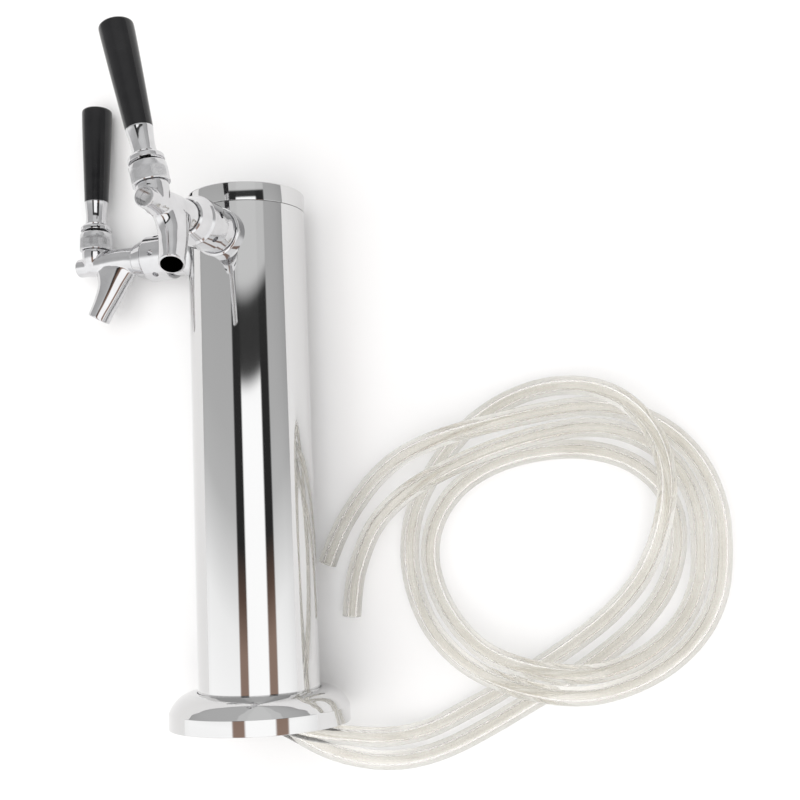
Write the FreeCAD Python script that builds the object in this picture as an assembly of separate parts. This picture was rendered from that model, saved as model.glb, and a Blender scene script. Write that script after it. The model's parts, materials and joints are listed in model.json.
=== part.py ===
"""Two-faucet draft beer tower, lying on its back with its two beer lines loosely coiled beside it.

Three frames are used, all in millimetres:
  column frame  origin at the middle of the base's underside, +Z along the column towards the cap,
                left faucet towards -X, front faucet towards -Y
  faucet frame  origin on the column's axis at shank height, +X forwards through the nose, +Z up the column
  row frame     the surface is z = 0, +Y runs along the laid column towards the cap, +Z is up
Every node is written in the row frame.
"""
import FreeCAD, Part
import math
import os

from FreeCAD import Placement, Rotation, Vector

os.makedirs("parts", exist_ok=True)

# ---- column, base and cap -------------------------------------------------
COLUMN_R = 38.1            # 3 in stainless tube
COLUMN_WALL = 1.5
COLUMN_BORE_R = COLUMN_R - COLUMN_WALL
GASKET_T = 2.0
PLATE_T = 5.0
PLATE_R = 52.0
BOLT_CIRCLE_R = 45.0
BOLT_HOLE_R = 2.75
BOLT_COUNT = 4
COVER_R = 56.5             # bell cover over the mounting plate
COVER_SIDE_H = 10.5
COVER_H = 21.0
COVER_WALL = 1.2
COVER_GAP = 0.5            # running gap round the column
CAP_SEAM_Z = 325.0
CAP_TOP_Z = 337.5
CAP_PLUG_DEPTH = 6.0

# ---- shank and faucet, in the faucet frame --------------------------------
SHANK_Z = 304.8            # height of both shanks on the column
SHANK_R = 11.0
SHANK_INNER_X = 20.0
SHANK_OUTER_X = 70.0
SHANK_BORE_R = 3.2
COLLAR_R = 15.6            # chrome collar against the column
COLLAR_FACE_X = 44.0
NUT_REAR_X = 55.0
NUT_SHOULDER_X = 72.0
NUT_FRONT_X = 82.0
NUT_R = 15.2
LEVER_X = 115.0            # lever axis to column axis
PIVOT_Z = 15.2             # lever ball's centre above the shank axis
NOSE_X = 127.8
NOSE_R = 6.2
BODY_BORE_R = 5.0
ARM_R = 9.8
OPEN_ANGLE = 25.0          # handle's pull, closed to fully open, degrees
BOSS_R = 8.7               # threaded top of the body under the bonnet
BOSS_TOP_Z = PIVOT_Z + 0.5
BALL_R = 6.1
BALL_SOCKET_R = 6.4
BONNET_R = 10.95
BONNET_DOME_R = 12.8       # spherical top, centred on the pivot
SKIRT_RECESS_R = 13.2      # the lever collar's underside, centred on the pivot
LEVER_COLLAR_R = 10.5
COLLAR_TOP_Z = 28.6
HANDLE_R = 10.35           # at its widest, near the top
HANDLE_BASE_Z = 45.2
HANDLE_TOP_Z = 112.8

# ---- how the two faucets are turned: azimuth on the column, twist about the shank
FAUCETS = {"left": (180.0, 1.9), "front": (-90.0, 12.5)}

# ---- beer lines -----------------------------------------------------------
HOSE_R = 6.2
HOSE_BORE_R = 2.4
BARB_R = 3.4
BARB_X = 11.0              # the barbs hang this far from the column's axis
LINE_START_Z = -12.0       # top of the hose on its barb, from the shank axis
BARB_END_Z = -34.0
BEND_SHARE = 0.45          # part of the shorter run that each bend may use

# ---- how the tower lies: on the cover's shoulder, the cap's edge and the left handle
ROLL = 9.87
TILT = math.degrees(math.atan2(COVER_R - COLUMN_R, CAP_TOP_Z - 1.0 - COVER_SIDE_H))
BASE_CENTRE = Vector(36.2, -209.5, 57.03)
LAID = Placement(BASE_CENTRE, Rotation(Vector(1, 0, 0), -(90.0 + TILT))) * Placement(
    Vector(), Rotation(Vector(0, 0, 1), -ROLL))

# Beer line routes in the row frame, from the base opening to the bare ends.
LINE_Z = 6.4               # a line lying on the surface
FRONT_LINE = [
    (46.1, -203.4, 65.2), (55.6, -211.1, 58.2), (66.2, -216.5, 49.8), (77.2, -220.5, 41), (89, -223.8, 31.5),
    (102.7, -227.5, 21), (119, -228.5, 12.5), (137, -225, 7.5), (156, -216, LINE_Z), (180, -204, LINE_Z),
    (206, -189, LINE_Z), (232, -173, LINE_Z), (256, -156, LINE_Z), (276, -135, 7), (288, -112, 13),
    (295, -88, 20), (297, -64, 20.5), (291, -41, 20.5), (277, -22, 20), (258, -10, 14.5), (235, -6, 8),
    (211, -9, LINE_Z), (187, -19, LINE_Z), (164, -36, LINE_Z), (145, -60, LINE_Z), (131, -86, LINE_Z),
    (127, -114, LINE_Z), (131, -141, 7), (143, -165, 13), (163, -184, 19), (187, -196, 20),
    (213, -203, 20), (240, -206, 15), (266, -201, 8), (291, -189, LINE_Z), (312, -170, LINE_Z),
    (325, -146, LINE_Z), (329, -119, LINE_Z), (329, -91, LINE_Z), (320.5, -63.5, LINE_Z),
    (303.5, -41.5, LINE_Z), (280, -27, LINE_Z), (254, -20.5, 7), (227, -22.5, 13), (200, -27, 19.5),
    (173, -32, 20), (147, -38.5, 19), (124, -48, 12), (106, -62, 7.5), (92, -79, LINE_Z),
    (80, -97, LINE_Z), (72, -116, LINE_Z)]
LEFT_LINE = [
    (35.4, -202.6, 52.9), (43.3, -211.4, 46.1), (52.3, -218.2, 37.8), (61.6, -226.5, 30.2),
    (72, -234.5, 22.5), (87, -241.5, 14), (105, -245.5, 8.5), (126, -244.5, LINE_Z), (150, -237, LINE_Z),
    (176, -224, LINE_Z),
    (202, -209.5, LINE_Z), (229, -195, LINE_Z), (254, -178.5, LINE_Z), (277, -160, LINE_Z),
    (294, -138, LINE_Z), (301.5, -113, LINE_Z), (301, -92, LINE_Z), (293, -74, LINE_Z),
    (279, -60.5, LINE_Z), (261, -52, LINE_Z), (240, -48, LINE_Z), (219, -48.5, LINE_Z),
    (197, -52, LINE_Z), (176, -60, LINE_Z), (158, -73, LINE_Z), (145, -92, LINE_Z),
    (140.5, -114, LINE_Z), (145, -137, 8), (157, -158, 14), (174, -175, 19.5), (196, -185, 20),
    (220, -190, 20), (245, -191.5, 19), (269, -186, 11), (290, -173, 6.6), (305, -156, LINE_Z),
    (314, -134, LINE_Z), (315.5, -111, LINE_Z), (315, -88, LINE_Z), (306.5, -66, LINE_Z),
    (291.5, -49, LINE_Z), (271, -38, LINE_Z), (248, -34, 8), (224, -37, 14), (201, -42, 19.5),
    (178, -49, 20), (157, -57, 20), (137, -66.5, 20), (119, -78.5, 15), (104.5, -93, 9),
    (95, -112, LINE_Z), (89, -131, LINE_Z), (87, -151, LINE_Z)]
# The same lines inside the column, from below the barb down to the last bend before the opening.
FRONT_LINE_INSIDE = [
    (34.3, 52.7, 53.1), (33.1, 12.9, 57.1), (28.9, -38.7, 66.3), (25.2, -94.1, 74.9), (24.5, -139, 78.5),
    (24.5, -168.9, 80.2), (29, -184, 77.5), (37.36, -196.32, 71.64)]
LEFT_LINE_INSIDE = [
    (25.4, 52, 40.3), (24.4, 12.1, 44.3), (21.2, -39.4, 53.5), (18.3, -90.5, 61.9), (17.7, -135.4, 65.4),
    (17.7, -165.3, 67.1), (21.2, -180.8, 64.8), (27.9, -194.24, 59.36)]


# ---- building blocks ------------------------------------------------------
def rod(radius, start, end, axis="Z"):
    """A solid cylinder on the X or Z axis between two stations."""
    direction = Vector(1, 0, 0) if axis == "X" else Vector(0, 0, 1)
    return Part.makeCylinder(radius, end - start, direction * start, direction)


def ring(outer, inner, start, end, axis="Z"):
    return rod(outer, start, end, axis).cut(rod(inner, start - 1, end + 1, axis))


def turned(profile, axis="Z"):
    """Revolve a closed outline of (radius, station) points about the X or Z axis."""
    if axis == "X":
        corners = [Vector(station, 0, radius) for radius, station in profile]
        direction = Vector(1, 0, 0)
    else:
        corners = [Vector(radius, 0, station) for radius, station in profile]
        direction = Vector(0, 0, 1)
    outline = Part.makePolygon(corners + corners[:1])
    return Part.Face(outline).revolve(Vector(), direction, 360)


def ball(radius, centre):
    return Part.makeSphere(radius, centre)


def hex_bar(corner_radius, start, end):
    """A hexagonal prism along X."""
    corners = []
    for side in range(7):
        angle = math.radians(60 * side)
        corners.append(Vector(start, corner_radius * math.cos(angle), corner_radius * math.sin(angle)))
    return Part.Face(Part.makePolygon(corners)).extrude(Vector(end - start, 0, 0))


def ellipse_wire(centre, forward, half_length, half_width):
    """A closed ellipse across a spout: half_length fore and aft, half_width sideways."""
    normal = Vector(forward).normalize()
    side = Vector(0, 1, 0)
    fore = side.cross(normal)
    curve = Part.Ellipse(Vector(), half_length, half_width) if half_length > half_width else Part.Circle(
        Vector(), Vector(0, 0, 1), half_width)
    wire = Part.Wire(curve.toShape())
    wire.Placement = Placement(Vector(*centre), Rotation(fore, side, fore.cross(side), "XYZ"))
    return wire


def bend_radius(before, corner, after):
    first = corner - before
    second = after - corner
    half_turn = first.getAngle(second) / 2
    return BEND_SHARE * min(first.Length, second.Length) / math.tan(half_turn)


def hose_path(points):
    """Straight runs joined by tangent arcs."""
    edges = []
    here = points[0]
    for before, corner, after in zip(points, points[1:], points[2:]):
        into = (corner - before).normalize()
        away = (after - corner).normalize()
        reach = BEND_SHARE * min((corner - before).Length, (after - corner).Length)
        bend_start = corner - into * reach
        bend_end = corner + away * reach
        inward = (away - into).normalize()
        half_turn = into.getAngle(away) / 2
        radius = reach / math.tan(half_turn)
        middle = corner + inward * (radius / math.cos(half_turn) - radius)
        edges.append(Part.LineSegment(here, bend_start).toShape())
        edges.append(Part.Arc(bend_start, middle, bend_end).toShape())
        here = bend_end
    edges.append(Part.LineSegment(here, points[-1]).toShape())
    return Part.Wire(edges)


def hose(name, points, radius):
    """A round bar swept along a hose's path, with its bends and volume printed."""
    path = hose_path(points)
    section = Part.Wire(Part.Circle(points[0], points[1] - points[0], radius).toShape())
    solid = path.makePipeShell([section], True, False)
    radii = [bend_radius(*corner) for corner in zip(points, points[1:], points[2:])]
    expected = math.pi * radius ** 2 * path.Length
    print(name, "length %.1f" % path.Length, "volume ratio %.4f" % (solid.Volume / expected),
          "tightest %.1f" % min(radii), "radii", [round(r) for r in radii])
    return solid


# ---- placing and writing --------------------------------------------------
def in_column(azimuth):
    """Column-frame placement of a part modelled in the faucet frame."""
    return Placement(Vector(0, 0, SHANK_Z), Rotation(Vector(0, 0, 1), azimuth))


def write(name, shape, placement=None):
    """Write one node in the row frame."""
    placed = shape.copy()
    placed.Placement = (placement or LAID) * placed.Placement
    if not placed.isValid():
        print("INVALID", name)
    placed.exportStep("parts/%s.step" % name)


# ---- column and base ------------------------------------------------------
def column_tube():
    tube = ring(COLUMN_R, COLUMN_BORE_R, GASKET_T + PLATE_T, CAP_SEAM_Z)
    for azimuth, twist in FAUCETS.values():
        hole = rod(SHANK_R + 0.2, 20, 60, "X")
        hole.Placement = in_column(azimuth)
        tube = tube.cut(hole)
    return tube


def bolt_holes(start, end):
    holes = []
    for index in range(BOLT_COUNT):
        angle = math.radians(45 + 360 / BOLT_COUNT * index)
        centre = Vector(BOLT_CIRCLE_R * math.cos(angle), BOLT_CIRCLE_R * math.sin(angle), start)
        holes.append(Part.makeCylinder(BOLT_HOLE_R, end - start, centre))
    return Part.makeCompound(holes)


def base_plate():
    plate = ring(PLATE_R, COLUMN_BORE_R, GASKET_T, GASKET_T + PLATE_T)
    return plate.cut(bolt_holes(-1, 20))


def base_gasket():
    gasket = ring(PLATE_R, COLUMN_BORE_R + 1.0, 0, GASKET_T)
    return gasket.cut(bolt_holes(-1, 20))


def flange_cover():
    """Bell cover: a plain side, a rounded shoulder and a neck round the column."""
    neck_r = COLUMN_R + COVER_GAP
    shoulder = COVER_H - COVER_SIDE_H
    outline = Part.Wire([
        Part.LineSegment(Vector(0, 0, 0), Vector(COVER_R, 0, 0)).toShape(),
        Part.LineSegment(Vector(COVER_R, 0, 0), Vector(COVER_R, 0, COVER_SIDE_H)).toShape(),
        Part.Arc(Vector(COVER_R, 0, COVER_SIDE_H),
                 Vector(COVER_R - 2.6, 0, COVER_SIDE_H + 0.6 * shoulder),
                 Vector(COVER_R - 8.5, 0, COVER_H - 2.0)).toShape(),
        Part.LineSegment(Vector(COVER_R - 8.5, 0, COVER_H - 2.0), Vector(neck_r + 1, 0, COVER_H)).toShape(),
        Part.LineSegment(Vector(neck_r + 1, 0, COVER_H), Vector(0, 0, COVER_H)).toShape(),
        Part.LineSegment(Vector(0, 0, COVER_H), Vector(0, 0, 0)).toShape()])
    outer = Part.Face(outline).revolve(Vector(), Vector(0, 0, 1), 360)
    hollow = turned([(0, -1), (COVER_R - COVER_WALL, -1), (COVER_R - COVER_WALL, COVER_SIDE_H),
                     (COVER_R - 4.5, COVER_SIDE_H + 4.5), (COVER_R - 9.5, COVER_H - 3.4),
                     (neck_r + 1, COVER_H - 1.6), (0, COVER_H - 1.6)])
    return outer.cut(hollow).cut(rod(neck_r, -1, COVER_H + 1))


def column_cap():
    """Chrome lid, flush with the tube, with a plug that drops inside."""
    edge = 1.0
    plug_r = COLUMN_BORE_R - 0.4
    plug_z = CAP_SEAM_Z - CAP_PLUG_DEPTH
    lid = turned([(0, CAP_SEAM_Z + 0.3), (COLUMN_R, CAP_SEAM_Z + 0.3), (COLUMN_R, CAP_TOP_Z - edge),
                  (COLUMN_R - edge * 0.3, CAP_TOP_Z - edge * 0.3), (COLUMN_R - edge, CAP_TOP_Z),
                  (0, CAP_TOP_Z)])
    plug = ring(plug_r, plug_r - 2.2, plug_z, CAP_SEAM_Z + 1)
    groove = ring(plug_r + 1, plug_r - 1.1, plug_z + 1.6, plug_z + 3.8)
    return lid.fuse(plug.cut(groove)).cut(rod(plug_r - 2.2, plug_z, CAP_TOP_Z - 2.0))


def cap_seal():
    plug_z = CAP_SEAM_Z - CAP_PLUG_DEPTH
    return ring(COLUMN_BORE_R - 0.3, COLUMN_BORE_R - 1.5, plug_z + 1.6, plug_z + 3.8)


# ---- shank fittings, in the faucet frame without twist ---------------------
def shank():
    barrel = rod(SHANK_R, SHANK_INNER_X, SHANK_OUTER_X, "X")
    return barrel.cut(rod(SHANK_BORE_R, 0, 80, "X")).cut(rod(8.0, 54.5, 80, "X"))


def shank_collar():
    """Flange with a saddle back that fits the column, and a short hub."""
    flange = turned([(0, 30), (COLLAR_R, 30), (COLLAR_R, COLLAR_FACE_X - 1.2), (COLLAR_R - 1.2, COLLAR_FACE_X),
                     (13.4, COLLAR_FACE_X), (13.0, NUT_REAR_X - 0.4), (0, NUT_REAR_X - 0.4)], "X")
    column = rod(COLUMN_R, -40, 40)
    return flange.cut(column).cut(rod(SHANK_R + 0.05, 0, 80, "X"))


def shank_saddle_washer():
    blank = ring(13.5, SHANK_R + 0.05, 33.0, 40.0, "X")
    return blank.common(rod(COLUMN_BORE_R - 0.02, -40, 40))


def shank_locknut():
    return hex_bar(15.0, 28.5, 33.0).cut(rod(SHANK_R + 0.05, 0, 80, "X"))


def tailpiece():
    """Elbow that turns the beer line down the column, with a barbed tail."""
    bend = 6.5
    tube_r = 2.8
    spine = Part.Wire([
        Part.LineSegment(Vector(19, 0, 0), Vector(BARB_X + bend, 0, 0)).toShape(),
        Part.Arc(Vector(BARB_X + bend, 0, 0),
                 Vector(BARB_X + bend * (1 - math.sin(math.pi / 4)), 0, -bend * (1 - math.cos(math.pi / 4))),
                 Vector(BARB_X, 0, -bend)).toShape(),
        Part.LineSegment(Vector(BARB_X, 0, -bend), Vector(BARB_X, 0, BARB_END_Z)).toShape()])
    section = Part.Wire(Part.Circle(Vector(19, 0, 0), Vector(-1, 0, 0), tube_r).toShape())
    bore = Part.Wire(Part.Circle(Vector(19, 0, 0), Vector(-1, 0, 0), 1.7).toShape())
    body = spine.makePipeShell([section], True, False)
    body = body.fuse(rod(8.0, 17.6, 19.0, "X"))
    for top in (-15.0, -20.0, -25.0, -30.0):
        barb = Part.makeCone(tube_r, BARB_R, 3.6, Vector(BARB_X, 0, top - 3.6))
        body = body.fuse(barb)
    return body.cut(spine.makePipeShell([bore], True, False))


def tail_washer():
    return ring(10.2, 3.6, 19.0, SHANK_INNER_X, "X")


def tail_nut():
    nut = hex_bar(13.2, 15.0, 27.5)
    nut = nut.cut(rod(SHANK_R + 0.05, 17.6, 40, "X"))
    return nut.cut(rod(5.4, 0, 40, "X"))


def hose_clamp():
    """Stepless ear clamp round the hose on its barb."""
    band = ring(HOSE_R + 0.8, HOSE_R, -24.0, -17.0)
    ear = Part.makeBox(2.4, 4.4, 7.0, Vector(HOSE_R + 0.4, -2.2, -24.0))
    ear = ear.cut(rod(HOSE_R, -30, -10))
    clamp = band.fuse(ear)
    clamp.Placement = Placement(Vector(BARB_X, 0, 0), Rotation(Vector(0, 0, 1), -60))
    return clamp


# ---- faucet, in the faucet frame ------------------------------------------
def coupling_nut():
    nut = turned([(0, NUT_REAR_X), (NUT_R - 0.6, NUT_REAR_X), (NUT_R, NUT_REAR_X + 0.6),
                  (NUT_R, NUT_SHOULDER_X), (NUT_R - 1.2, NUT_SHOULDER_X + 1.5), (11.2, NUT_FRONT_X - 0.8),
                  (10.6, NUT_FRONT_X), (0, NUT_FRONT_X)], "X")
    nut = nut.cut(rod(SHANK_R + 0.05, 0, SHANK_OUTER_X, "X"))
    nut = nut.cut(rod(12.5, SHANK_OUTER_X - 0.1, 73.3, "X"))
    nut = nut.cut(rod(ARM_R + 0.15, 70, 90, "X"))
    for index in range(6):
        hole = Part.makeCylinder(2.1, 6, Vector(64, 0, NUT_R - 3.2), Vector(0, 0, 1))
        hole.rotate(Vector(), Vector(1, 0, 0), 30 + 60 * index)
        nut = nut.cut(hole)
    return nut


def coupling_washer():
    return ring(10.9, 8.2, SHANK_OUTER_X, SHANK_OUTER_X + 0.5, "X")


SPOUT_OUTSIDE = [((98.3, 0, -3.0), (0.25, 0, -0.97), 15.0, 8.0), ((102.6, 0, -17.5), (0.45, 0, -0.89), 9.6, 7.8),
                 ((107.6, 0, -27.5), (0.47, 0, -0.88), 8.2, 7.7), ((112.7, 0, -37.0), (0.49, 0, -0.87), 7.7, 7.7)]
SPOUT_INSIDE = [((97.5, 0, -1.0), (0.25, 0, -0.97), 4.6, 4.6), ((102.0, 0, -16.0), (0.45, 0, -0.89), 5.6, 5.6),
                ((107.4, 0, -27.5), (0.47, 0, -0.88), 6.3, 6.3), ((113.3, 0, -38.2), (0.49, 0, -0.87), 6.6, 6.6)]


def faucet_body():
    """Arm, lever boss, open nose and forward-slanting spout in one casting."""
    arm = turned([(0, 70.5), (12.2, 70.5), (12.2, 73.0), (ARM_R, 73.0), (ARM_R, 101.0), (9.2, 106.0),
                  (7.8, 112.0), (NOSE_R + 0.5, 118.0), (NOSE_R, 122.0), (NOSE_R, NOSE_X - 0.4),
                  (NOSE_R - 0.4, NOSE_X), (0, NOSE_X)], "X")
    boss = turned([(0, -5.0), (6.0, -5.0), (8.4, 0.0), (9.3, 4.5), (9.7, 8.7), (9.3, 10.3), (BOSS_R, 10.3),
                   (BOSS_R, BOSS_TOP_Z), (0, BOSS_TOP_Z)])
    boss.translate(Vector(LEVER_X, 0, 0))
    spout = Part.makeLoft([ellipse_wire(*section) for section in SPOUT_OUTSIDE], True)
    passage = Part.makeLoft([ellipse_wire(*section) for section in SPOUT_INSIDE], True)
    body = arm.fuse([boss, spout])
    socket = rod(BALL_SOCKET_R, PIVOT_Z - 6.3, PIVOT_Z + 5.0)
    socket.translate(Vector(LEVER_X, 0, 0))
    slot = Part.makeBox(10.8, 5.2, 9.0, Vector(LEVER_X - 8.6, -2.6, 1.0))
    return body.cut([passage, rod(BODY_BORE_R, 60, 140, "X"), socket, slot])


def shaft():
    """Sliding valve shaft: slotted block for the lever's toe, round guide at the front."""
    stem = rod(3.0, 64.0, 112.0, "X")
    block = rod(4.5, 108.0, 121.0, "X").cut(Part.makeBox(11.5, 12, 6, Vector(109.0, -6, 2.4)))
    guide = rod(BODY_BORE_R - 0.07, 120.5, 122.8, "X")
    collar = rod(4.4, 70.6, 73.0, "X")
    slot = Part.makeBox(5.5, 5.2, 12.0, Vector(LEVER_X - 2.75, -2.6, -3.2))
    return stem.fuse([block, guide, collar]).cut(slot)


def seat_washer():
    return ring(6.6, 3.0, 68.0, 70.4, "X")


def shaft_nut():
    return hex_bar(5.4, 65.0, 68.0).cut(rod(3.0, 0, 90, "X"))


def at_lever(shape):
    shape.translate(Vector(LEVER_X, 0, 0))
    return shape


def lever():
    """Ball lever: toe in the shaft, ball in the boss, threaded stud in the handle."""
    parts = [rod(1.6, 0.0, PIVOT_Z), ball(2.4, Vector(0, 0, 0)), rod(3.3, PIVOT_Z, 30.0), rod(3.9, 28.9, 58.0)]
    return at_lever(ball(BALL_R, Vector(0, 0, PIVOT_Z)).fuse(parts))


def pivot_space(radius):
    return ball(radius, Vector(0, 0, PIVOT_Z))


def ball_washer():
    seat = ring(BALL_SOCKET_R - 0.05, 5.0, PIVOT_Z - 6.3, PIVOT_Z - 3.5)
    return at_lever(seat.cut(pivot_space(BALL_SOCKET_R - 0.02)))


def friction_washer():
    return at_lever(ring(8.5, 5.5, BOSS_TOP_Z, PIVOT_Z + 3.8).cut(pivot_space(BALL_SOCKET_R)))


def bonnet():
    """Ring that screws on the boss and holds the ball down; its top is spherical about the pivot."""
    low = PIVOT_Z - 4.5
    high = PIVOT_Z + 12.0
    lip = PIVOT_Z + 3.8
    blank = turned([(0, low), (BONNET_R - 0.5, low), (BONNET_R, low + 0.5), (BONNET_R, high), (0, high)])
    blank = blank.common(pivot_space(BONNET_DOME_R))
    opening = turned([(0, lip), (6.0, lip), (9.3, lip + 5.3), (9.3, high + 2), (0, high + 2)])
    thread = rod(BOSS_R + 0.05, low - 4, BOSS_TOP_Z + 0.05)
    seat = rod(8.6, BOSS_TOP_Z, lip + 0.05)
    return at_lever(blank.cut([opening, thread, seat]))


def lever_collar():
    """Smooth ring that covers the bonnet's opening and turns with the lever."""
    low = PIVOT_Z + 5.5
    blank = turned([(0, low), (LEVER_COLLAR_R, low), (LEVER_COLLAR_R, COLLAR_TOP_Z - 1.6),
                    (9.6, COLLAR_TOP_Z - 0.4), (7.6, COLLAR_TOP_Z), (0, COLLAR_TOP_Z)])
    return at_lever(blank.cut([pivot_space(SKIRT_RECESS_R), rod(3.35, low - 2, 40)]))


def ferrule():
    """Flared chrome ring between the lever collar and the handle."""
    blank = turned([(0, 28.8), (7.1, 28.8), (7.35, 29.6), (6.95, 33.0), (7.0, 36.0), (7.35, 40.0),
                    (7.9, 43.8), (8.05, HANDLE_BASE_Z), (0, HANDLE_BASE_Z)])
    return at_lever(blank.cut(rod(3.95, 20, 60)))


def handle():
    """Tapered handle, widest near its top."""
    outline = Part.Wire([
        Part.LineSegment(Vector(0, 0, HANDLE_BASE_Z), Vector(8.05, 0, HANDLE_BASE_Z)).toShape(),
        Part.Arc(Vector(8.05, 0, HANDLE_BASE_Z), Vector(9.4, 0, 79), Vector(HANDLE_R, 0, 109.8)).toShape(),
        Part.Arc(Vector(HANDLE_R, 0, 109.8), Vector(9.8, 0, 111.5), Vector(8.3, 0, 112.2)).toShape(),
        Part.LineSegment(Vector(8.3, 0, 112.2), Vector(0, 0, HANDLE_TOP_Z)).toShape(),
        Part.LineSegment(Vector(0, 0, HANDLE_TOP_Z), Vector(0, 0, HANDLE_BASE_Z)).toShape()])
    solid = Part.Face(outline).revolve(Vector(), Vector(0, 0, 1), 360)
    return at_lever(solid.cut(rod(5.0, HANDLE_BASE_Z - 1, 64.0)))


def handle_insert():
    return at_lever(ring(5.0, 3.95, HANDLE_BASE_Z + 0.5, 62.0))


# ---- beer lines -----------------------------------------------------------
def vectors(points):
    return [Vector(*point) for point in points]


def line_inside(side, azimuth, inside, outside):
    """The hose from its barb down the column to the base opening, bored through."""
    start = (LAID * in_column(azimuth)).multVec(Vector(BARB_X, 0, LINE_START_Z))
    points = [start] + vectors(inside) + vectors(outside[:1])
    body = hose("line_inside_" + side, points, HOSE_R).cut(hose("bore_inside_" + side, points, HOSE_BORE_R))
    barb_room = Part.makeCylinder(BARB_R, 26.0, Vector(BARB_X, 0, LINE_START_Z - 24.0))
    barb_room.Placement = LAID * in_column(azimuth) * barb_room.Placement
    return body.cut(barb_room)


# ---- write every node -----------------------------------------------------
for node in (column_tube, base_plate, base_gasket, flange_cover, column_cap, cap_seal):
    write(node.__name__, node())

STRAIGHT_NODES = (shank, shank_collar, shank_saddle_washer, shank_locknut, tailpiece, tail_washer, tail_nut,
                  hose_clamp)
TWISTED_NODES = (coupling_nut, coupling_washer, faucet_body, shaft, seat_washer, shaft_nut, lever, ball_washer,
                 friction_washer, bonnet, lever_collar, ferrule, handle, handle_insert)
for side, (azimuth, twist) in FAUCETS.items():
    straight = LAID * in_column(azimuth)
    twisted = straight * Placement(Vector(), Rotation(Vector(1, 0, 0), twist))
    for node in STRAIGHT_NODES:
        write("%s_%s" % (side, node.__name__), node(), straight)
    for node in TWISTED_NODES:
        write("%s_%s" % (side, node.__name__), node(), twisted)

for side, inside, outside in (("front", FRONT_LINE_INSIDE, FRONT_LINE), ("left", LEFT_LINE_INSIDE, LEFT_LINE)):
    azimuth = FAUCETS[side][0]
    write("%s_line_inside" % side, line_inside(side, azimuth, inside, outside), Placement())
    write("%s_beer_line" % side, hose("%s_beer_line" % side, vectors(outside), HOSE_R), Placement())
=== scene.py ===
"""Two-faucet draft beer tower lying beside its coiled beer lines.

Finished pieces, materials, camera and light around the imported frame. Outlines are in millimetres in
the tower's or a faucet's own frame, and LAID takes them to metres in the row's frame.
"""
import json
import math

import bmesh
import bpy
from mathutils import Matrix, Vector


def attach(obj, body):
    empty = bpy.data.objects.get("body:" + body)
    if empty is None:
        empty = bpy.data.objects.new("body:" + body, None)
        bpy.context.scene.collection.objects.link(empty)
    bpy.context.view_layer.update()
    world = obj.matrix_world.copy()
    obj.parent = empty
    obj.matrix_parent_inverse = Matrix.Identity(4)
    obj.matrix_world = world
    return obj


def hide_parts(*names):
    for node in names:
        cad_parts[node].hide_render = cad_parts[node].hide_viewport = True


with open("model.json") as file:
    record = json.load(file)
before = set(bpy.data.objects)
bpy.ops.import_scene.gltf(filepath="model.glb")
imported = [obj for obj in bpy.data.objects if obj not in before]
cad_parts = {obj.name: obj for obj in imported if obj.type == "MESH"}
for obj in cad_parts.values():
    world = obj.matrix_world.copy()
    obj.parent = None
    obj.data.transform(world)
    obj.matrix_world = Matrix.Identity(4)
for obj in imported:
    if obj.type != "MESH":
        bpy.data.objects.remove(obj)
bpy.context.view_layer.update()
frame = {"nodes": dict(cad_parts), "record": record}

nodes = frame["nodes"]

# ---- driving dimensions, as in the CAD model ---------------------------------------------------
COLUMN_R = 38.1
COVER_R = 56.5
COVER_SIDE_H = 10.5
CAP_SEAM_Z = 325.0
CAP_TOP_Z = 337.5
SHANK_Z = 304.8
LEVER_X = 115.0
NUT_FRONT_X = 82.0
NOSE_X = 127.8
PIVOT_Z = 15.2
BODY_BORE_R = 5.0
COLLAR_R = 15.6
ROLL = 9.87
TILT = math.degrees(math.atan2(COVER_R - COLUMN_R, CAP_TOP_Z - 1.0 - COVER_SIDE_H))
BASE_CENTRE = (36.2, -209.5, 57.03)
FAUCETS = {"left": (180.0, 1.9), "front": (-90.0, 12.5)}


def turn(degrees, axis):
    return Matrix.Rotation(math.radians(degrees), 4, axis)


AS_IS = Matrix.Identity(4)
LAID = (Matrix.Scale(0.001, 4) @ Matrix.Translation(BASE_CENTRE)
        @ turn(-(90.0 + TILT), "X") @ turn(-ROLL, "Z"))


def faucet_place(side, twisted=True):
    azimuth, twist = FAUCETS[side]
    place = LAID @ Matrix.Translation((0, 0, SHANK_Z)) @ turn(azimuth, "Z")
    return place @ turn(twist, "X") if twisted else place


def lever_place(side):
    return faucet_place(side) @ Matrix.Translation((LEVER_X, 0, 0))


# ---- camera ------------------------------------------------------------------------------------
camera = bpy.data.objects.new("camera", bpy.data.cameras.new("camera"))
bpy.context.scene.collection.objects.link(camera)
look = Vector((-0.156735, 0.062243, -0.985677)).normalized()
side_way = look.cross(Vector((0.060685, 0.996733, 0.053292))).normalized()
upward = side_way.cross(look)
camera.matrix_world = Matrix.Translation((0.250962, -0.059056, 0.787134)) @ Matrix(
    (side_way, upward, -look)).transposed().to_4x4()
camera.data.sensor_width = 36.0
camera.data.lens = 53.56
camera.data.clip_end = 30.0
bpy.context.scene.camera = camera
bpy.context.scene.view_settings.view_transform = "Standard"

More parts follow.
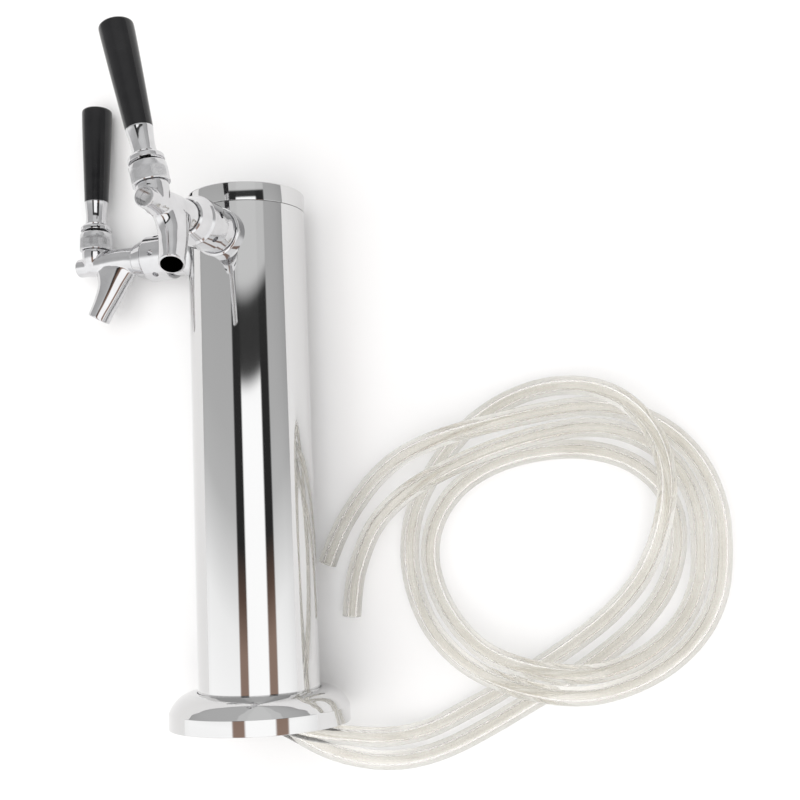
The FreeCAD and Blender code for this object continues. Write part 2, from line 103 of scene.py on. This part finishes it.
# ---- beer line routes --------------------------------------------------------------------------
FRONT_LINE = [
    (0.0461, -0.2034, 0.0652), (0.0556, -0.2111, 0.0582), (0.0662, -0.2165, 0.0498),
    (0.0772, -0.2205, 0.041), (0.089, -0.2238, 0.0315), (0.1027, -0.2275, 0.021),
    (0.119, -0.2285, 0.0125), (0.137, -0.225, 0.0075), (0.156, -0.216, 0.0064), (0.18, -0.204, 0.0064),
    (0.206, -0.189, 0.0064), (0.232, -0.173, 0.0064), (0.256, -0.156, 0.0064), (0.276, -0.135, 0.007),
    (0.288, -0.112, 0.013), (0.295, -0.088, 0.02), (0.297, -0.064, 0.0205), (0.291, -0.041, 0.0205),
    (0.277, -0.022, 0.02), (0.258, -0.01, 0.0145), (0.235, -0.006, 0.008), (0.211, -0.009, 0.0064),
    (0.187, -0.019, 0.0064), (0.164, -0.036, 0.0064), (0.145, -0.06, 0.0064), (0.131, -0.086, 0.0064),
    (0.127, -0.114, 0.0064), (0.131, -0.141, 0.007), (0.143, -0.165, 0.013), (0.163, -0.184, 0.019),
    (0.187, -0.196, 0.02), (0.213, -0.203, 0.02), (0.24, -0.206, 0.015), (0.266, -0.201, 0.008),
    (0.291, -0.189, 0.0064), (0.312, -0.17, 0.0064), (0.325, -0.146, 0.0064), (0.329, -0.119, 0.0064),
    (0.329, -0.091, 0.0064), (0.3205, -0.0635, 0.0064), (0.3035, -0.0415, 0.0064),
    (0.28, -0.027, 0.0064), (0.254, -0.0205, 0.007), (0.227, -0.0225, 0.013), (0.2, -0.027, 0.0195),
    (0.173, -0.032, 0.02), (0.147, -0.0385, 0.019), (0.124, -0.048, 0.012), (0.106, -0.062, 0.0075),
    (0.092, -0.079, 0.0064), (0.08, -0.097, 0.0064), (0.072, -0.116, 0.0064)]
LEFT_LINE = [
    (0.0354, -0.2026, 0.0529), (0.0433, -0.2114, 0.0461), (0.0523, -0.2182, 0.0378),
    (0.0616, -0.2265, 0.0302), (0.072, -0.2345, 0.0225), (0.087, -0.2415, 0.014),
    (0.105, -0.2455, 0.0085), (0.126, -0.2445, 0.0064), (0.15, -0.237, 0.0064), (0.176, -0.224, 0.0064),
    (0.202, -0.2095, 0.0064), (0.229, -0.195, 0.0064), (0.254, -0.1785, 0.0064), (0.277, -0.16, 0.0064),
    (0.294, -0.138, 0.0064), (0.3015, -0.113, 0.0064), (0.301, -0.092, 0.0064), (0.293, -0.074, 0.0064),
    (0.279, -0.0605, 0.0064), (0.261, -0.052, 0.0064), (0.24, -0.048, 0.0064), (0.219, -0.0485, 0.0064),
    (0.197, -0.052, 0.0064), (0.176, -0.06, 0.0064), (0.158, -0.073, 0.0064), (0.145, -0.092, 0.0064),
    (0.1405, -0.114, 0.0064), (0.145, -0.137, 0.008), (0.157, -0.158, 0.014), (0.174, -0.175, 0.0195),
    (0.196, -0.185, 0.02), (0.22, -0.19, 0.02), (0.245, -0.1915, 0.019), (0.269, -0.186, 0.011),
    (0.29, -0.173, 0.0066), (0.305, -0.156, 0.0064), (0.314, -0.134, 0.0064), (0.3155, -0.111, 0.0064),
    (0.315, -0.088, 0.0064), (0.3065, -0.066, 0.0064), (0.2915, -0.049, 0.0064),
    (0.271, -0.038, 0.0064), (0.248, -0.034, 0.008), (0.224, -0.037, 0.014), (0.201, -0.042, 0.0195),
    (0.178, -0.049, 0.02), (0.157, -0.057, 0.02), (0.137, -0.0665, 0.02), (0.119, -0.0785, 0.015),
    (0.1045, -0.093, 0.009), (0.095, -0.112, 0.0064), (0.089, -0.131, 0.0064), (0.087, -0.151, 0.0064)]
LINES = {"front": (FRONT_LINE, 1.277), "left": (LEFT_LINE, 1.179)}     # route, free length
LINE_R = 0.0062
LINE_BORE_R = 0.0024


# ---- material building -------------------------------------------------------------------------
def new_material(name):
    made = bpy.data.materials.new(name)
    made.use_nodes = True
    tree = made.node_tree
    return made, tree, tree.nodes["Principled BSDF"]


def add(tree, kind, **settings):
    node = tree.nodes.new(kind)
    for key, value in settings.items():
        setattr(node, key, value)
    return node


def noise(tree, scale, detail=3.0, stretch=(1, 1, 1)):
    """A noise factor over the object, optionally stretched along the row axes."""
    place = add(tree, "ShaderNodeTexCoord")
    mapping = add(tree, "ShaderNodeMapping")
    mapping.inputs["Scale"].default_value = stretch
    texture = add(tree, "ShaderNodeTexNoise")
    texture.inputs["Scale"].default_value = scale
    texture.inputs["Detail"].default_value = detail
    tree.links.new(place.outputs["Object"], mapping.inputs["Vector"])
    tree.links.new(mapping.outputs["Vector"], texture.inputs["Vector"])
    return texture.outputs["Fac"]


def spread(tree, factor, low, high):
    """Map a noise factor's usual range onto low..high."""
    node = add(tree, "ShaderNodeMapRange")
    for name, value in (("From Min", 0.3), ("From Max", 0.7), ("To Min", low), ("To Max", high)):
        node.inputs[name].default_value = value
    tree.links.new(factor, node.inputs["Value"])
    return node.outputs["Result"]


def blend_colour(tree, factor, first, second):
    node = add(tree, "ShaderNodeMix", data_type="RGBA")
    node.inputs["A"].default_value = (*first, 1)
    node.inputs["B"].default_value = (*second, 1)
    tree.links.new(factor, node.inputs["Factor"])
    return node.outputs["Result"]


def bump(tree, shader, height, strength, distance):
    node = add(tree, "ShaderNodeBump")
    node.inputs["Strength"].default_value = strength
    node.inputs["Distance"].default_value = distance
    tree.links.new(height, node.inputs["Height"])
    tree.links.new(node.outputs["Normal"], shader.inputs["Normal"])


def surface(name, first, second, rough, metallic=0.0, scale=60.0, stretch=(1, 1, 1), grain=300.0,
            relief=0.05, depth=0.00002, **sockets):
    """A material whose colour and gloss wander between two values, with a fine relief."""
    made, tree, shader = new_material(name)
    shader.inputs["Metallic"].default_value = metallic
    for socket, value in sockets.items():
        shader.inputs[socket.replace("_", " ")].default_value = value
    patches = noise(tree, scale, 4.0, stretch)
    colour = blend_colour(tree, spread(tree, patches, 0, 1), first, second)
    tree.links.new(colour, shader.inputs["Base Color"])
    tree.links.new(spread(tree, patches, *rough), shader.inputs["Roughness"])
    bump(tree, shader, noise(tree, grain, 3.0, stretch), relief, depth)
    return made


polished_steel = surface("polished_steel", (0.64, 0.64, 0.64), (0.68, 0.68, 0.68), (0.03, 0.06), 1.0,
                         scale=9.0, stretch=(1, 0.25, 1), grain=40.0, relief=0.01)
chrome = surface("chrome", (0.60, 0.60, 0.61), (0.66, 0.66, 0.67), (0.04, 0.09), 1.0, scale=120.0,
                 relief=0.02)
dull_chrome = surface("dull_chrome", (0.50, 0.50, 0.50), (0.62, 0.62, 0.62), (0.18, 0.3), 1.0, scale=200.0)
steel_plate = surface("steel_plate", (0.42, 0.42, 0.42), (0.55, 0.55, 0.55), (0.28, 0.42), 1.0,
                      stretch=(12, 1, 1))
steel_clamp = surface("steel_clamp", (0.5, 0.5, 0.5), (0.6, 0.6, 0.6), (0.2, 0.35), 1.0)
brass = surface("brass", (0.62, 0.44, 0.18), (0.74, 0.56, 0.26), (0.22, 0.38), 1.0)
black_rubber = surface("black_rubber", (0.012, 0.012, 0.012), (0.025, 0.025, 0.025), (0.6, 0.85),
                       relief=0.3)
nylon = surface("nylon", (0.72, 0.70, 0.64), (0.80, 0.79, 0.74), (0.4, 0.55))
black_handle = surface("black_handle", (0.006, 0.006, 0.007), (0.011, 0.011, 0.012), (0.14, 0.22), scale=90.0,
                       grain=900.0, relief=0.06, Specular_IOR_Level=0.32, Coat_Weight=0.1,
                       Coat_Roughness=0.08)
clear_vinyl = surface("clear_vinyl", (0.86, 0.845, 0.805), (0.92, 0.91, 0.88), (0.05, 0.12), scale=25.0,
                      grain=60.0, relief=0.03, depth=0.00004, Transmission_Weight=0.95, IOR=1.46)
FINISH = {"polished_steel": polished_steel, "chrome": chrome, "dull_chrome": dull_chrome,
          "steel_plate": steel_plate, "steel_clamp": steel_clamp, "brass": brass,
          "black_rubber": black_rubber, "nylon": nylon, "black_handle": black_handle,
          "clear_vinyl": clear_vinyl}


# ---- mesh building -----------------------------------------------------------------------------
def settle(piece, slot, body, *replaced):
    """Give a finished piece its material, its body and the CAD nodes it stands for."""
    piece.data.materials.clear()
    piece.data.materials.append(FINISH[slot])
    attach(piece, body)
    if replaced:
        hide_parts(*replaced)
    return piece


def from_bmesh(name, bm, crease=32.0):
    bmesh.ops.recalc_face_normals(bm, faces=bm.faces)
    mesh = bpy.data.meshes.new(name)
    bm.to_mesh(mesh)
    bm.free()
    return from_mesh(name, mesh, crease)


def from_mesh(name, mesh, crease=32.0):
    mesh.polygons.foreach_set("use_smooth", [True] * len(mesh.polygons))
    mesh.set_sharp_from_angle(angle=math.radians(crease))
    piece = bpy.data.objects.new(name, mesh)
    bpy.context.scene.collection.objects.link(piece)
    return piece


def fillet(points):
    """Round the corners of an outline: a point with a third number gets an arc of that radius."""
    steps = 7
    out = []
    for index, point in enumerate(points):
        if len(point) < 3:
            out.append(Vector(point))
            continue
        before = Vector(points[index - 1][:2])
        corner = Vector(point[:2])
        after = Vector(points[(index + 1) % len(points)][:2])
        back = (before - corner).normalized()
        ahead = (after - corner).normalized()
        half = back.angle(ahead) / 2
        centre = corner + (back + ahead).normalized() * (point[2] / math.sin(half))
        start = corner + back * (point[2] / math.tan(half)) - centre
        end = corner + ahead * (point[2] / math.tan(half)) - centre
        sweep = start.angle_signed(end)
        for step in range(steps + 1):
            out.append(centre + Matrix.Rotation(-sweep * step / steps, 2) @ start)
    return out


def curve_through(points, steps=8):
    """A smooth outline through the given points."""
    dense = []
    last = len(points) - 1
    for index in range(last):
        p0, p1, p2, p3 = (Vector(points[min(max(index + k, 0), last)]) for k in (-1, 0, 1, 2))
        for step in range(steps):
            t = step / steps
            dense.append(0.5 * ((2 * p1) + (p2 - p0) * t + (2 * p0 - 5 * p1 + 4 * p2 - p3) * t * t
                                + (3 * p1 - p0 - 3 * p2 + p3) * t ** 3))
    dense.append(Vector(points[last]))
    return dense


def turned_mesh(outline, place, axis="Z", segments=128, ring=False, wave=None):
    """Revolve a (radius, station) outline; ring=True closes the outline on itself."""
    bm = bmesh.new()
    columns = []
    for step in range(segments):
        angle = 2 * math.pi * step / segments
        column = []
        for radius, station in outline:
            reach = radius + (wave(angle, radius, station) if wave else 0.0)
            across = (reach * math.cos(angle), reach * math.sin(angle))
            point = (station, *across) if axis == "X" else (*across, station)
            column.append(bm.verts.new(place @ Vector(point)))
        columns.append(column)
    rows = len(outline)
    for step in range(segments):
        here, there = columns[step], columns[(step + 1) % segments]
        for row in range(rows if ring else rows - 1):
            up = (row + 1) % rows
            bm.faces.new((here[row], there[row], there[up], here[up]))
    bmesh.ops.remove_doubles(bm, verts=bm.verts, dist=1e-7)
    return bm


def turned_piece(name, outline, place, slot, body, *replaced, **options):
    return settle(from_bmesh(name, turned_mesh(outline, place, **options)), slot, body, *replaced)


def loft_mesh(rings, place):
    """Join rings of points into a closed solid."""
    bm = bmesh.new()
    loops = [[bm.verts.new(place @ Vector(point)) for point in loop] for loop in rings]
    for lower, upper in zip(loops, loops[1:]):
        for index in range(len(lower)):
            ahead = (index + 1) % len(lower)
            bm.faces.new((lower[index], lower[ahead], upper[ahead], upper[index]))
    bm.faces.new(loops[0])
    bm.faces.new(loops[-1])
    return bm


def joined(*parts):
    whole = bmesh.new()
    for part in parts:
        spare = bpy.data.meshes.new("spare")
        bmesh.ops.recalc_face_normals(part, faces=part.faces)
        part.to_mesh(spare)
        part.free()
        whole.from_mesh(spare)
        bpy.data.meshes.remove(spare)
    return whole


def applied(piece):
    """The piece's mesh with its modifiers applied."""
    bpy.context.view_layer.update()
    graph = bpy.context.evaluated_depsgraph_get()
    mesh = bpy.data.meshes.new_from_object(piece.evaluated_get(graph))
    piece.modifiers.clear()
    piece.data = mesh
    return piece


def carve(piece, *cutters):
    """Cut closed meshes out of a piece."""
    for cutter in cutters:
        tool = from_bmesh("tool", cutter)
        modifier = piece.modifiers.new("cut", "BOOLEAN")
        modifier.operation = "DIFFERENCE"
        modifier.solver = "EXACT"
        modifier.object = tool
        applied(piece)
        bpy.data.objects.remove(tool)
    piece.data.polygons.foreach_set("use_smooth", [True] * len(piece.data.polygons))
    piece.data.set_sharp_from_angle(angle=math.radians(32))
    return piece


# ---- beer lines --------------------------------------------------------------------------------
def line_centre(name, points):
    """Points along the smooth curve that a beer line follows."""
    curve = bpy.data.curves.new(name, "CURVE")
    curve.dimensions = "3D"
    curve.resolution_u = 10
    spline = curve.splines.new("NURBS")
    spline.points.add(len(points) - 1)
    for knot, point in zip(spline.points, points):
        knot.co = (*point, 1)
    spline.order_u = 3
    spline.use_endpoint_u = True
    guide = bpy.data.objects.new(name, curve)
    bpy.context.scene.collection.objects.link(guide)
    bpy.context.view_layer.update()
    mesh = bpy.data.meshes.new_from_object(guide)
    path = [vertex.co.copy() for vertex in mesh.vertices]
    bpy.data.objects.remove(guide)
    bpy.data.meshes.remove(mesh)
    return path


def tube_mesh(path, radii, segments=28):
    """Sweep concentric walls along a path, joined into one open-ended hose by rings at both ends."""
    bm = bmesh.new()
    side = (path[1] - path[0]).orthogonal().normalized()
    loops = []
    for index, point in enumerate(path):
        along = (path[min(index + 1, len(path) - 1)] - path[max(index - 1, 0)]).normalized()
        side = (side - along * side.dot(along)).normalized()
        other = along.cross(side)
        rings = []
        for radius in radii:
            rings.append([bm.verts.new(point + (side * math.cos(2 * math.pi * k / segments)
                                                + other * math.sin(2 * math.pi * k / segments)) * radius)
                          for k in range(segments)])
        loops.append(rings)
    for here, there in zip(loops, loops[1:]):
        for wall in range(len(radii)):
            for k in range(segments):
                ahead = (k + 1) % segments
                bm.faces.new((here[wall][k], here[wall][ahead], there[wall][ahead], there[wall][k]))
    for rings in (loops[0], loops[-1]):
        for k in range(segments):
            ahead = (k + 1) % segments
            bm.faces.new((rings[0][k], rings[0][ahead], rings[1][ahead], rings[1][k]))
    return bm


for side, (points, length) in LINES.items():
    path = line_centre(side + "_line_path", points)
    hose = from_bmesh(side + "_hose", tube_mesh(path, (LINE_R, LINE_BORE_R)))
    settle(hose, "clear_vinyl", "tower", side + "_beer_line")
    hose.visible_shadow = False

# ---- column, cap and base ----------------------------------------------------------------------
tube_outline = [(36.6, 7.0), (COLUMN_R, 7.0), (COLUMN_R, CAP_SEAM_Z, 0.15), (36.6, CAP_SEAM_Z)]
turned_piece("column_skin", fillet(tube_outline), LAID, "polished_steel", "tower", "column_tube",
             segments=320, ring=True)
cap_outline = [(0, 335.5), (34.0, 335.5), (34.0, 319.0), (36.2, 319.0, 0.4), (36.2, 325.3),
               (COLUMN_R, 325.3, 0.25), (COLUMN_R, 337.45, 1.1), (30.0, CAP_TOP_Z), (0, CAP_TOP_Z)]
turned_piece("cap_skin", fillet(cap_outline), LAID, "polished_steel", "top_cap", "column_cap", segments=320)
cover_outline = [(38.6, 19.4), (38.6, 21.0, 0.5), (44.0, 20.9)]
cover_outline += curve_through([(44.0, 20.9), (48.2, 19.3), (51.6, 16.7), (54.2, 13.6), (55.6, 11.2)], 6)[1:]
cover_outline += [(56.4, 9.6, 0.8), (COVER_R, 0.0, 0.3), (55.3, 0.0), (55.3, 10.0), (51.5, 15.0),
                  (46.0, 18.6)]
turned_piece("cover_skin", fillet(cover_outline), LAID, "polished_steel", "base_cover", "flange_cover",
             segments=320, ring=True)


# ---- faucets -----------------------------------------------------------------------------------
def oval(centre, forward, fore, across, count=56):
    """A ring of points across the spout, square to forward in the faucet's own plane."""
    ahead = Vector((forward[0], 0, forward[1])).normalized()
    fore_way = Vector((0, 1, 0)).cross(ahead)
    middle = Vector((centre[0], 0, centre[1]))
    return [middle + fore_way * (fore * math.cos(2 * math.pi * k / count))
            + Vector((0, 1, 0)) * (across * math.sin(2 * math.pi * k / count)) for k in range(count)]


def spout_rings(stations):
    """Rings along the spout from (x, z, direction x, direction z, fore radius, side radius) stations."""
    wide = curve_through([station[:2] for station in stations])
    aim = curve_through([station[2:4] for station in stations])
    size = curve_through([station[4:6] for station in stations])
    return [oval(centre, way, *reach) for centre, way, reach in zip(wide, aim, size)]


def rod_mesh(radius, start, end, place, axis="Z", segments=64):
    outline = [(0, start), (radius, start), (radius, end), (0, end)]
    return turned_mesh(outline, place, axis=axis, segments=segments)


SPOUT = [(99.4, -4.0, 0.10, -1.0, 16.6, 8.6), (101.0, -11.5, 0.24, -0.97, 12.4, 8.2),
         (103.1, -18.6, 0.38, -0.92, 9.9, 7.9), (106.6, -26.0, 0.46, -0.89, 8.6, 7.7),
         (109.6, -31.6, 0.48, -0.875, 7.9, 7.6), (112.7, -37.3, 0.49, -0.872, 7.7, 7.6)]
PASSAGE = [(99.0, -3.0, 0.25, -0.97, 4.4, 4.4), (102.0, -16.0, 0.45, -0.89, 5.4, 5.4),
           (107.4, -27.5, 0.47, -0.88, 6.2, 6.2), (113.9, -39.4, 0.49, -0.872, 6.5, 6.5)]


CAST_VOXEL = 0.42          # fine enough to keep the spout's lip, coarse enough to blend the joins


def arm_outline():
    """The arm from its hidden tail flange to the nose, a little longer than the cut at the nose's face."""
    arm = curve_through([(9.8, 74.6), (9.7, 88.0), (9.8, 97.0), (9.3, 104.0), (8.2, 110.0), (7.2, 115.5),
                         (6.6, 119.5), (6.3, 123.5), (6.2, NOSE_X + 0.2)], 6)
    return [(0, 73.0), (12.3, 73.0), (12.3, 74.6)] + [tuple(point) for point in arm] + [(0, NOSE_X + 0.2)]


def arm_rise(angle, radius, station):
    """The arm's underside is a little flatter than its top, between the nut's mouth and the nose."""
    if radius < 9.0:
        return 0.0
    fade_in = min(1.0, max(0.0, (station - NUT_FRONT_X) / 5.0))
    fade_out = min(1.0, max(0.0, (108.0 - station) / 10.0))
    return 0.7 * (math.sin(angle) - 1.0) * fade_in * fade_out


def cast_body():
    """The faucet's casting in its own frame, in millimetres: arm, lever boss, nose and spout run together."""
    arm = turned_mesh(arm_outline(), AS_IS, axis="X", segments=72, wave=arm_rise)
    boss = turned_mesh([(0, -5.0), (6.0, -5.0), (8.2, 0.0), (9.2, 4.5), (9.6, 8.7), (9.4, 10.6), (0, 10.6)],
                       Matrix.Translation((LEVER_X, 0, 0)), segments=72)
    spout = loft_mesh(spout_rings(SPOUT), AS_IS)
    casting = from_bmesh("casting", joined(arm, boss, spout))
    remesh = casting.modifiers.new("skin", "REMESH")
    remesh.mode = "VOXEL"
    remesh.voxel_size = CAST_VOXEL
    soften = casting.modifiers.new("soften", "SMOOTH")
    soften.factor = 0.5
    soften.iterations = 14
    return applied(casting)


casting = cast_body()
for side in FAUCETS:
    body = bpy.data.objects.new(side + "_body_skin", casting.data.copy())
    bpy.context.scene.collection.objects.link(body)
    carve(body, loft_mesh(spout_rings(PASSAGE), AS_IS), rod_mesh(BODY_BORE_R, 73.0, 140.0, AS_IS, "X"),
          rod_mesh(20.0, NOSE_X, 140.0, AS_IS, "X"))
    body.data.transform(faucet_place(side))
    settle(body, "chrome", "tower", side + "_faucet_body")
bpy.data.objects.remove(casting)

KNURLS = 96
BONNET_LOW = PIVOT_Z - 4.5
COLLAR_TOP = 28.6
HANDLE_BASE = 45.2


def knurl(angle, radius, station):
    """Fine upright grooves on the bonnet's straight side."""
    if radius < 10.5 or not BONNET_LOW + 1.2 < station < BONNET_LOW + 8.0:
        return 0.0
    return -0.13 * (0.5 + 0.5 * math.cos(KNURLS * angle)) ** 2


def dome_arc(radius, first, last, step):
    """Outline points on a sphere about the lever's pivot, by angle from the handle's axis."""
    return [(radius * math.sin(math.radians(angle)), PIVOT_Z + radius * math.cos(math.radians(angle)))
            for angle in range(first, last, step)]


def finish_bonnet(side):
    """Knurled ring with a spherical top, open for the lever."""
    bonnet = [(8.75, BONNET_LOW), (10.6, BONNET_LOW)]
    bonnet += [(10.95, BONNET_LOW + rise) for rise in (0.4, 1.3, 3.2, 5.0, 7.0, 7.8, 8.5)]
    bonnet += dome_arc(12.8, 58, 46, -2)
    bonnet += [(9.2, PIVOT_Z + 8.7), (6.2, PIVOT_Z + 4.1), (6.2, PIVOT_Z + 3.8), (8.75, PIVOT_Z + 3.8)]
    turned_piece(side + "_bonnet_skin", bonnet, lever_place(side), "chrome", "tower", side + "_bonnet",
                 segments=KNURLS * 8, ring=True, wave=knurl)


def finish_lever_collar(side):
    """Smooth ring whose hollow underside leaves a dark line above the bonnet."""
    collar = dome_arc(13.9, 15, 50, 3)
    collar += [(10.5, PIVOT_Z + 9.2, 0.2), (10.5, COLLAR_TOP - 1.7, 0.8), (9.2, COLLAR_TOP - 0.3, 0.6),
               (7.4, COLLAR_TOP), (3.35, COLLAR_TOP)]
    turned_piece(side + "_collar_skin", fillet(collar), lever_place(side), "chrome", side + "_lever_set",
                 side + "_lever_collar", ring=True)


def finish_ferrule(side):
    flare = [(7.2, 29.1), (7.35, 29.8), (7.1, 31.3), (6.95, 33.2), (7.0, 36.0), (7.3, 39.6), (7.65, 42.6),
             (8.0, 44.7)]
    ferrule = [(3.95, 28.8), (7.1, 28.8)] + curve_through(flare, 6)
    ferrule += [(8.0, HANDLE_BASE), (3.95, HANDLE_BASE)]
    turned_piece(side + "_ferrule_skin", ferrule, lever_place(side), "chrome", side + "_lever_set",
                 side + "_ferrule", ring=True)


def finish_handle(side):
    """Tapered grip with a rounded top edge and a blind hole for its insert."""
    grip = [(0, 64.0), (5.0, 64.0), (5.0, HANDLE_BASE), (7.75, HANDLE_BASE), (8.0, HANDLE_BASE + 0.3)]
    grip += curve_through([(8.05, 46.0), (8.4, 55.0), (8.9, 67.0), (9.4, 79.0), (9.9, 93.0), (10.25, 104.0),
                           (10.35, 109.2)], 6)
    grip += curve_through([(10.33, 109.8), (10.15, 110.9), (9.5, 111.7), (8.3, 112.2), (5.0, 112.6),
                           (0, 112.8)], 5)
    turned_piece(side + "_handle_skin", grip, lever_place(side), "black_handle", side + "_lever_set",
                 side + "_handle")


def finish_coupling_nut(side):
    """Round nut with a tapered mouth and six spanner holes."""
    nut = [(11.05, 55.0), (14.6, 55.0), (15.2, 55.6, 0.5), (15.2, 71.9, 1.0), (14.0, 73.6, 0.8),
           (11.4, 81.0, 0.6), (10.6, 81.9), (9.95, NUT_FRONT_X), (9.95, 73.4), (12.5, 73.4), (12.5, 70.0),
           (11.05, 70.0)]
    piece = turned_piece(side + "_nut_skin", fillet(nut), AS_IS, "chrome", "tower", side + "_coupling_nut",
                         axis="X", segments=144, ring=True)
    holes = [rod_mesh(2.1, 12.0, 18.0, turn(30 + 60 * k, "X") @ Matrix.Translation((64, 0, 0)), segments=40)
             for k in range(6)]
    carve(piece, joined(*holes))
    piece.data.transform(faucet_place(side))


def finish_shank_collar(side):
    """Flange with a back cut to the column, and a short hub."""
    collar = [(11.05, 30.0), (COLLAR_R, 30.0), (COLLAR_R, 42.9, 0.9), (14.6, 44.0, 0.7), (13.5, 44.0),
              (13.0, 45.0), (13.0, 54.6, 0.4), (11.05, 54.6)]
    piece = turned_piece(side + "_shank_collar_skin", fillet(collar), AS_IS, "chrome", "tower",
                         side + "_shank_collar", axis="X", segments=160, ring=True)
    carve(piece, rod_mesh(COLUMN_R + 0.02, -40.0, 40.0, AS_IS, segments=360))
    piece.data.transform(faucet_place(side, False))


for side in FAUCETS:
    finish_bonnet(side)
    finish_lever_collar(side)
    finish_ferrule(side)
    finish_handle(side)
    finish_coupling_nut(side)
    finish_shank_collar(side)

# ---- CAD pieces that keep their own shape ------------------------------------------------------
slots = {part["node"]: part["material_slot"] for part in frame["record"]["subparts"]}
for name, node in nodes.items():
    node.data.materials.clear()
    node.data.materials.append(FINISH[slots[name]])

# ---- floor, world and lamps --------------------------------------------------------------------
floor_bm = bmesh.new()
bmesh.ops.create_grid(floor_bm, x_segments=1, y_segments=1, size=4.0)
floor = from_bmesh("floor", floor_bm)
pale_floor, floor_tree, floor_shader = new_material("pale_floor")
tone = spread(floor_tree, noise(floor_tree, 3.0), 0, 1)
floor_tree.links.new(blend_colour(floor_tree, tone, (0.86, 0.86, 0.86), (0.88, 0.88, 0.88)),
                     floor_shader.inputs["Base Color"])
floor_shader.inputs["Roughness"].default_value = 0.9
floor_shader.inputs["Specular IOR Level"].default_value = 0.1
floor.data.materials.append(pale_floor)


def ramp(tree, value, stops):
    """A colour ramp from (place, shade) stops; a shade is one grey or three numbers."""
    node = add(tree, "ShaderNodeValToRGB")
    node.color_ramp.interpolation = "LINEAR"
    while len(node.color_ramp.elements) < len(stops):
        node.color_ramp.elements.new(0.5)
    for element, (place, shade) in zip(node.color_ramp.elements, stops):
        element.position = place
        element.color = (*shade, 1) if isinstance(shade, tuple) else (shade, shade, shade, 1)
    tree.links.new(value, node.inputs["Fac"])
    return node.outputs["Color"]


def maths(tree, kind, first, second=None):
    node = add(tree, "ShaderNodeMath", operation=kind)
    for socket, value in zip(node.inputs, (first, second)):
        if isinstance(value, (int, float)):
            socket.default_value = value
        elif value is not None:
            tree.links.new(value, socket)
    return node.outputs["Value"]


def mixed(tree, factor, first, second, kind="MIX"):
    node = add(tree, "ShaderNodeMix", data_type="RGBA", blend_type=kind)
    for name, value in (("Factor", factor), ("A", first), ("B", second)):
        if isinstance(value, (int, float)) and name == "Factor":
            node.inputs[name].default_value = value
        elif isinstance(value, (int, float)):
            node.inputs[name].default_value = (value, value, value, 1)
        else:
            tree.links.new(value, node.inputs[name])
    return node.outputs["Result"]


def compass(degrees):
    """Where an angle about the column falls on a ramp; 0 degrees is straight up, + towards +X."""
    return (degrees + 180.0) / 360.0


SKY_REACH = 0.6            # the ramps along the column cover directions from -0.6 to 0.6 in Y


def along(value):
    """Where a sky direction's Y falls on a ramp."""
    return (value + SKY_REACH) / (2 * SKY_REACH)


world = bpy.data.worlds.new("studio")
bpy.context.scene.world = world
world.use_nodes = True
sky = world.node_tree
sky.nodes.clear()
where = add(sky, "ShaderNodeTexCoord")
parts = add(sky, "ShaderNodeSeparateXYZ")
sky.links.new(where.outputs["Generated"], parts.inputs["Vector"])
bearing = maths(sky, "ARCTAN2", parts.outputs["X"], parts.outputs["Z"])
round_factor = maths(sky, "ADD", maths(sky, "DIVIDE", bearing, 2 * math.pi), 0.5)
along_factor = maths(sky, "DIVIDE", maths(sky, "ADD", parts.outputs["Y"], SKY_REACH), 2 * SKY_REACH)
side_walls = ramp(sky, along_factor, [(0, 1.25), (along(-0.10), 1.4), (along(0.0), 1.25), (along(0.06), 0.95),
                                      (along(0.12), 0.68), (along(0.2), 0.60), (along(0.4), 0.55), (1, 0.6)])
tilt_left = ramp(sky, round_factor, [(compass(-100), 0.9), (compass(-80), 1.0), (compass(60), 1.0),
                                     (compass(75), 0.95), (compass(95), 0.8), (compass(120), 0.9)])
walls = mixed(sky, 1.0, side_walls, tilt_left, "MULTIPLY")
band = ramp(sky, round_factor, [(compass(-19), 0.0), (compass(-18), 1.0), (compass(50), 1.0),
                                (compass(52), 0.0)])
core = ramp(sky, round_factor, [(compass(-4), 0.0), (compass(-2), 1.0), (compass(34), 1.0),
                                (compass(36), 0.0)])
core_light = ramp(sky, along_factor, [(0, 1.45), (along(0.25), 1.45), (along(0.268), 0.05),
                                      (along(0.338), 0.05), (along(0.36), 0.8), (1, 0.8)])
dark = ramp(sky, along_factor, [(0, (0.44, 0.32, 0.27)), (along(-0.02), (0.36, 0.25, 0.20)),
                                (along(0.035), (0.14, 0.09, 0.07)), (along(0.09), 0.03),
                                (along(0.338), 0.035), (along(0.36), 0.75), (1, 0.75)])
middle = mixed(sky, core, dark, core_light)
scene_light = mixed(sky, band, walls, middle)
paths = add(sky, "ShaderNodeLightPath")
seen = mixed(sky, paths.outputs["Is Camera Ray"], scene_light, 0.93)
glow = add(sky, "ShaderNodeBackground")
sky.links.new(seen, glow.inputs["Color"])
out = add(sky, "ShaderNodeOutputWorld")
sky.links.new(glow.outputs["Background"], out.inputs["Surface"])


def sun(name, direction, strength, softness):
    lamp = bpy.data.lights.new(name, "SUN")
    lamp.energy = strength
    lamp.angle = math.radians(softness)
    lamp_object = bpy.data.objects.new(name, lamp)
    bpy.context.scene.collection.objects.link(lamp_object)
    lamp_object.rotation_euler = Vector(direction).to_track_quat("-Z", "Y").to_euler()
    lamp_object.visible_glossy = False
    lamp_object.visible_transmission = False


sun("overhead", (0.15, 0.1, -1.0), 1.25, 60)
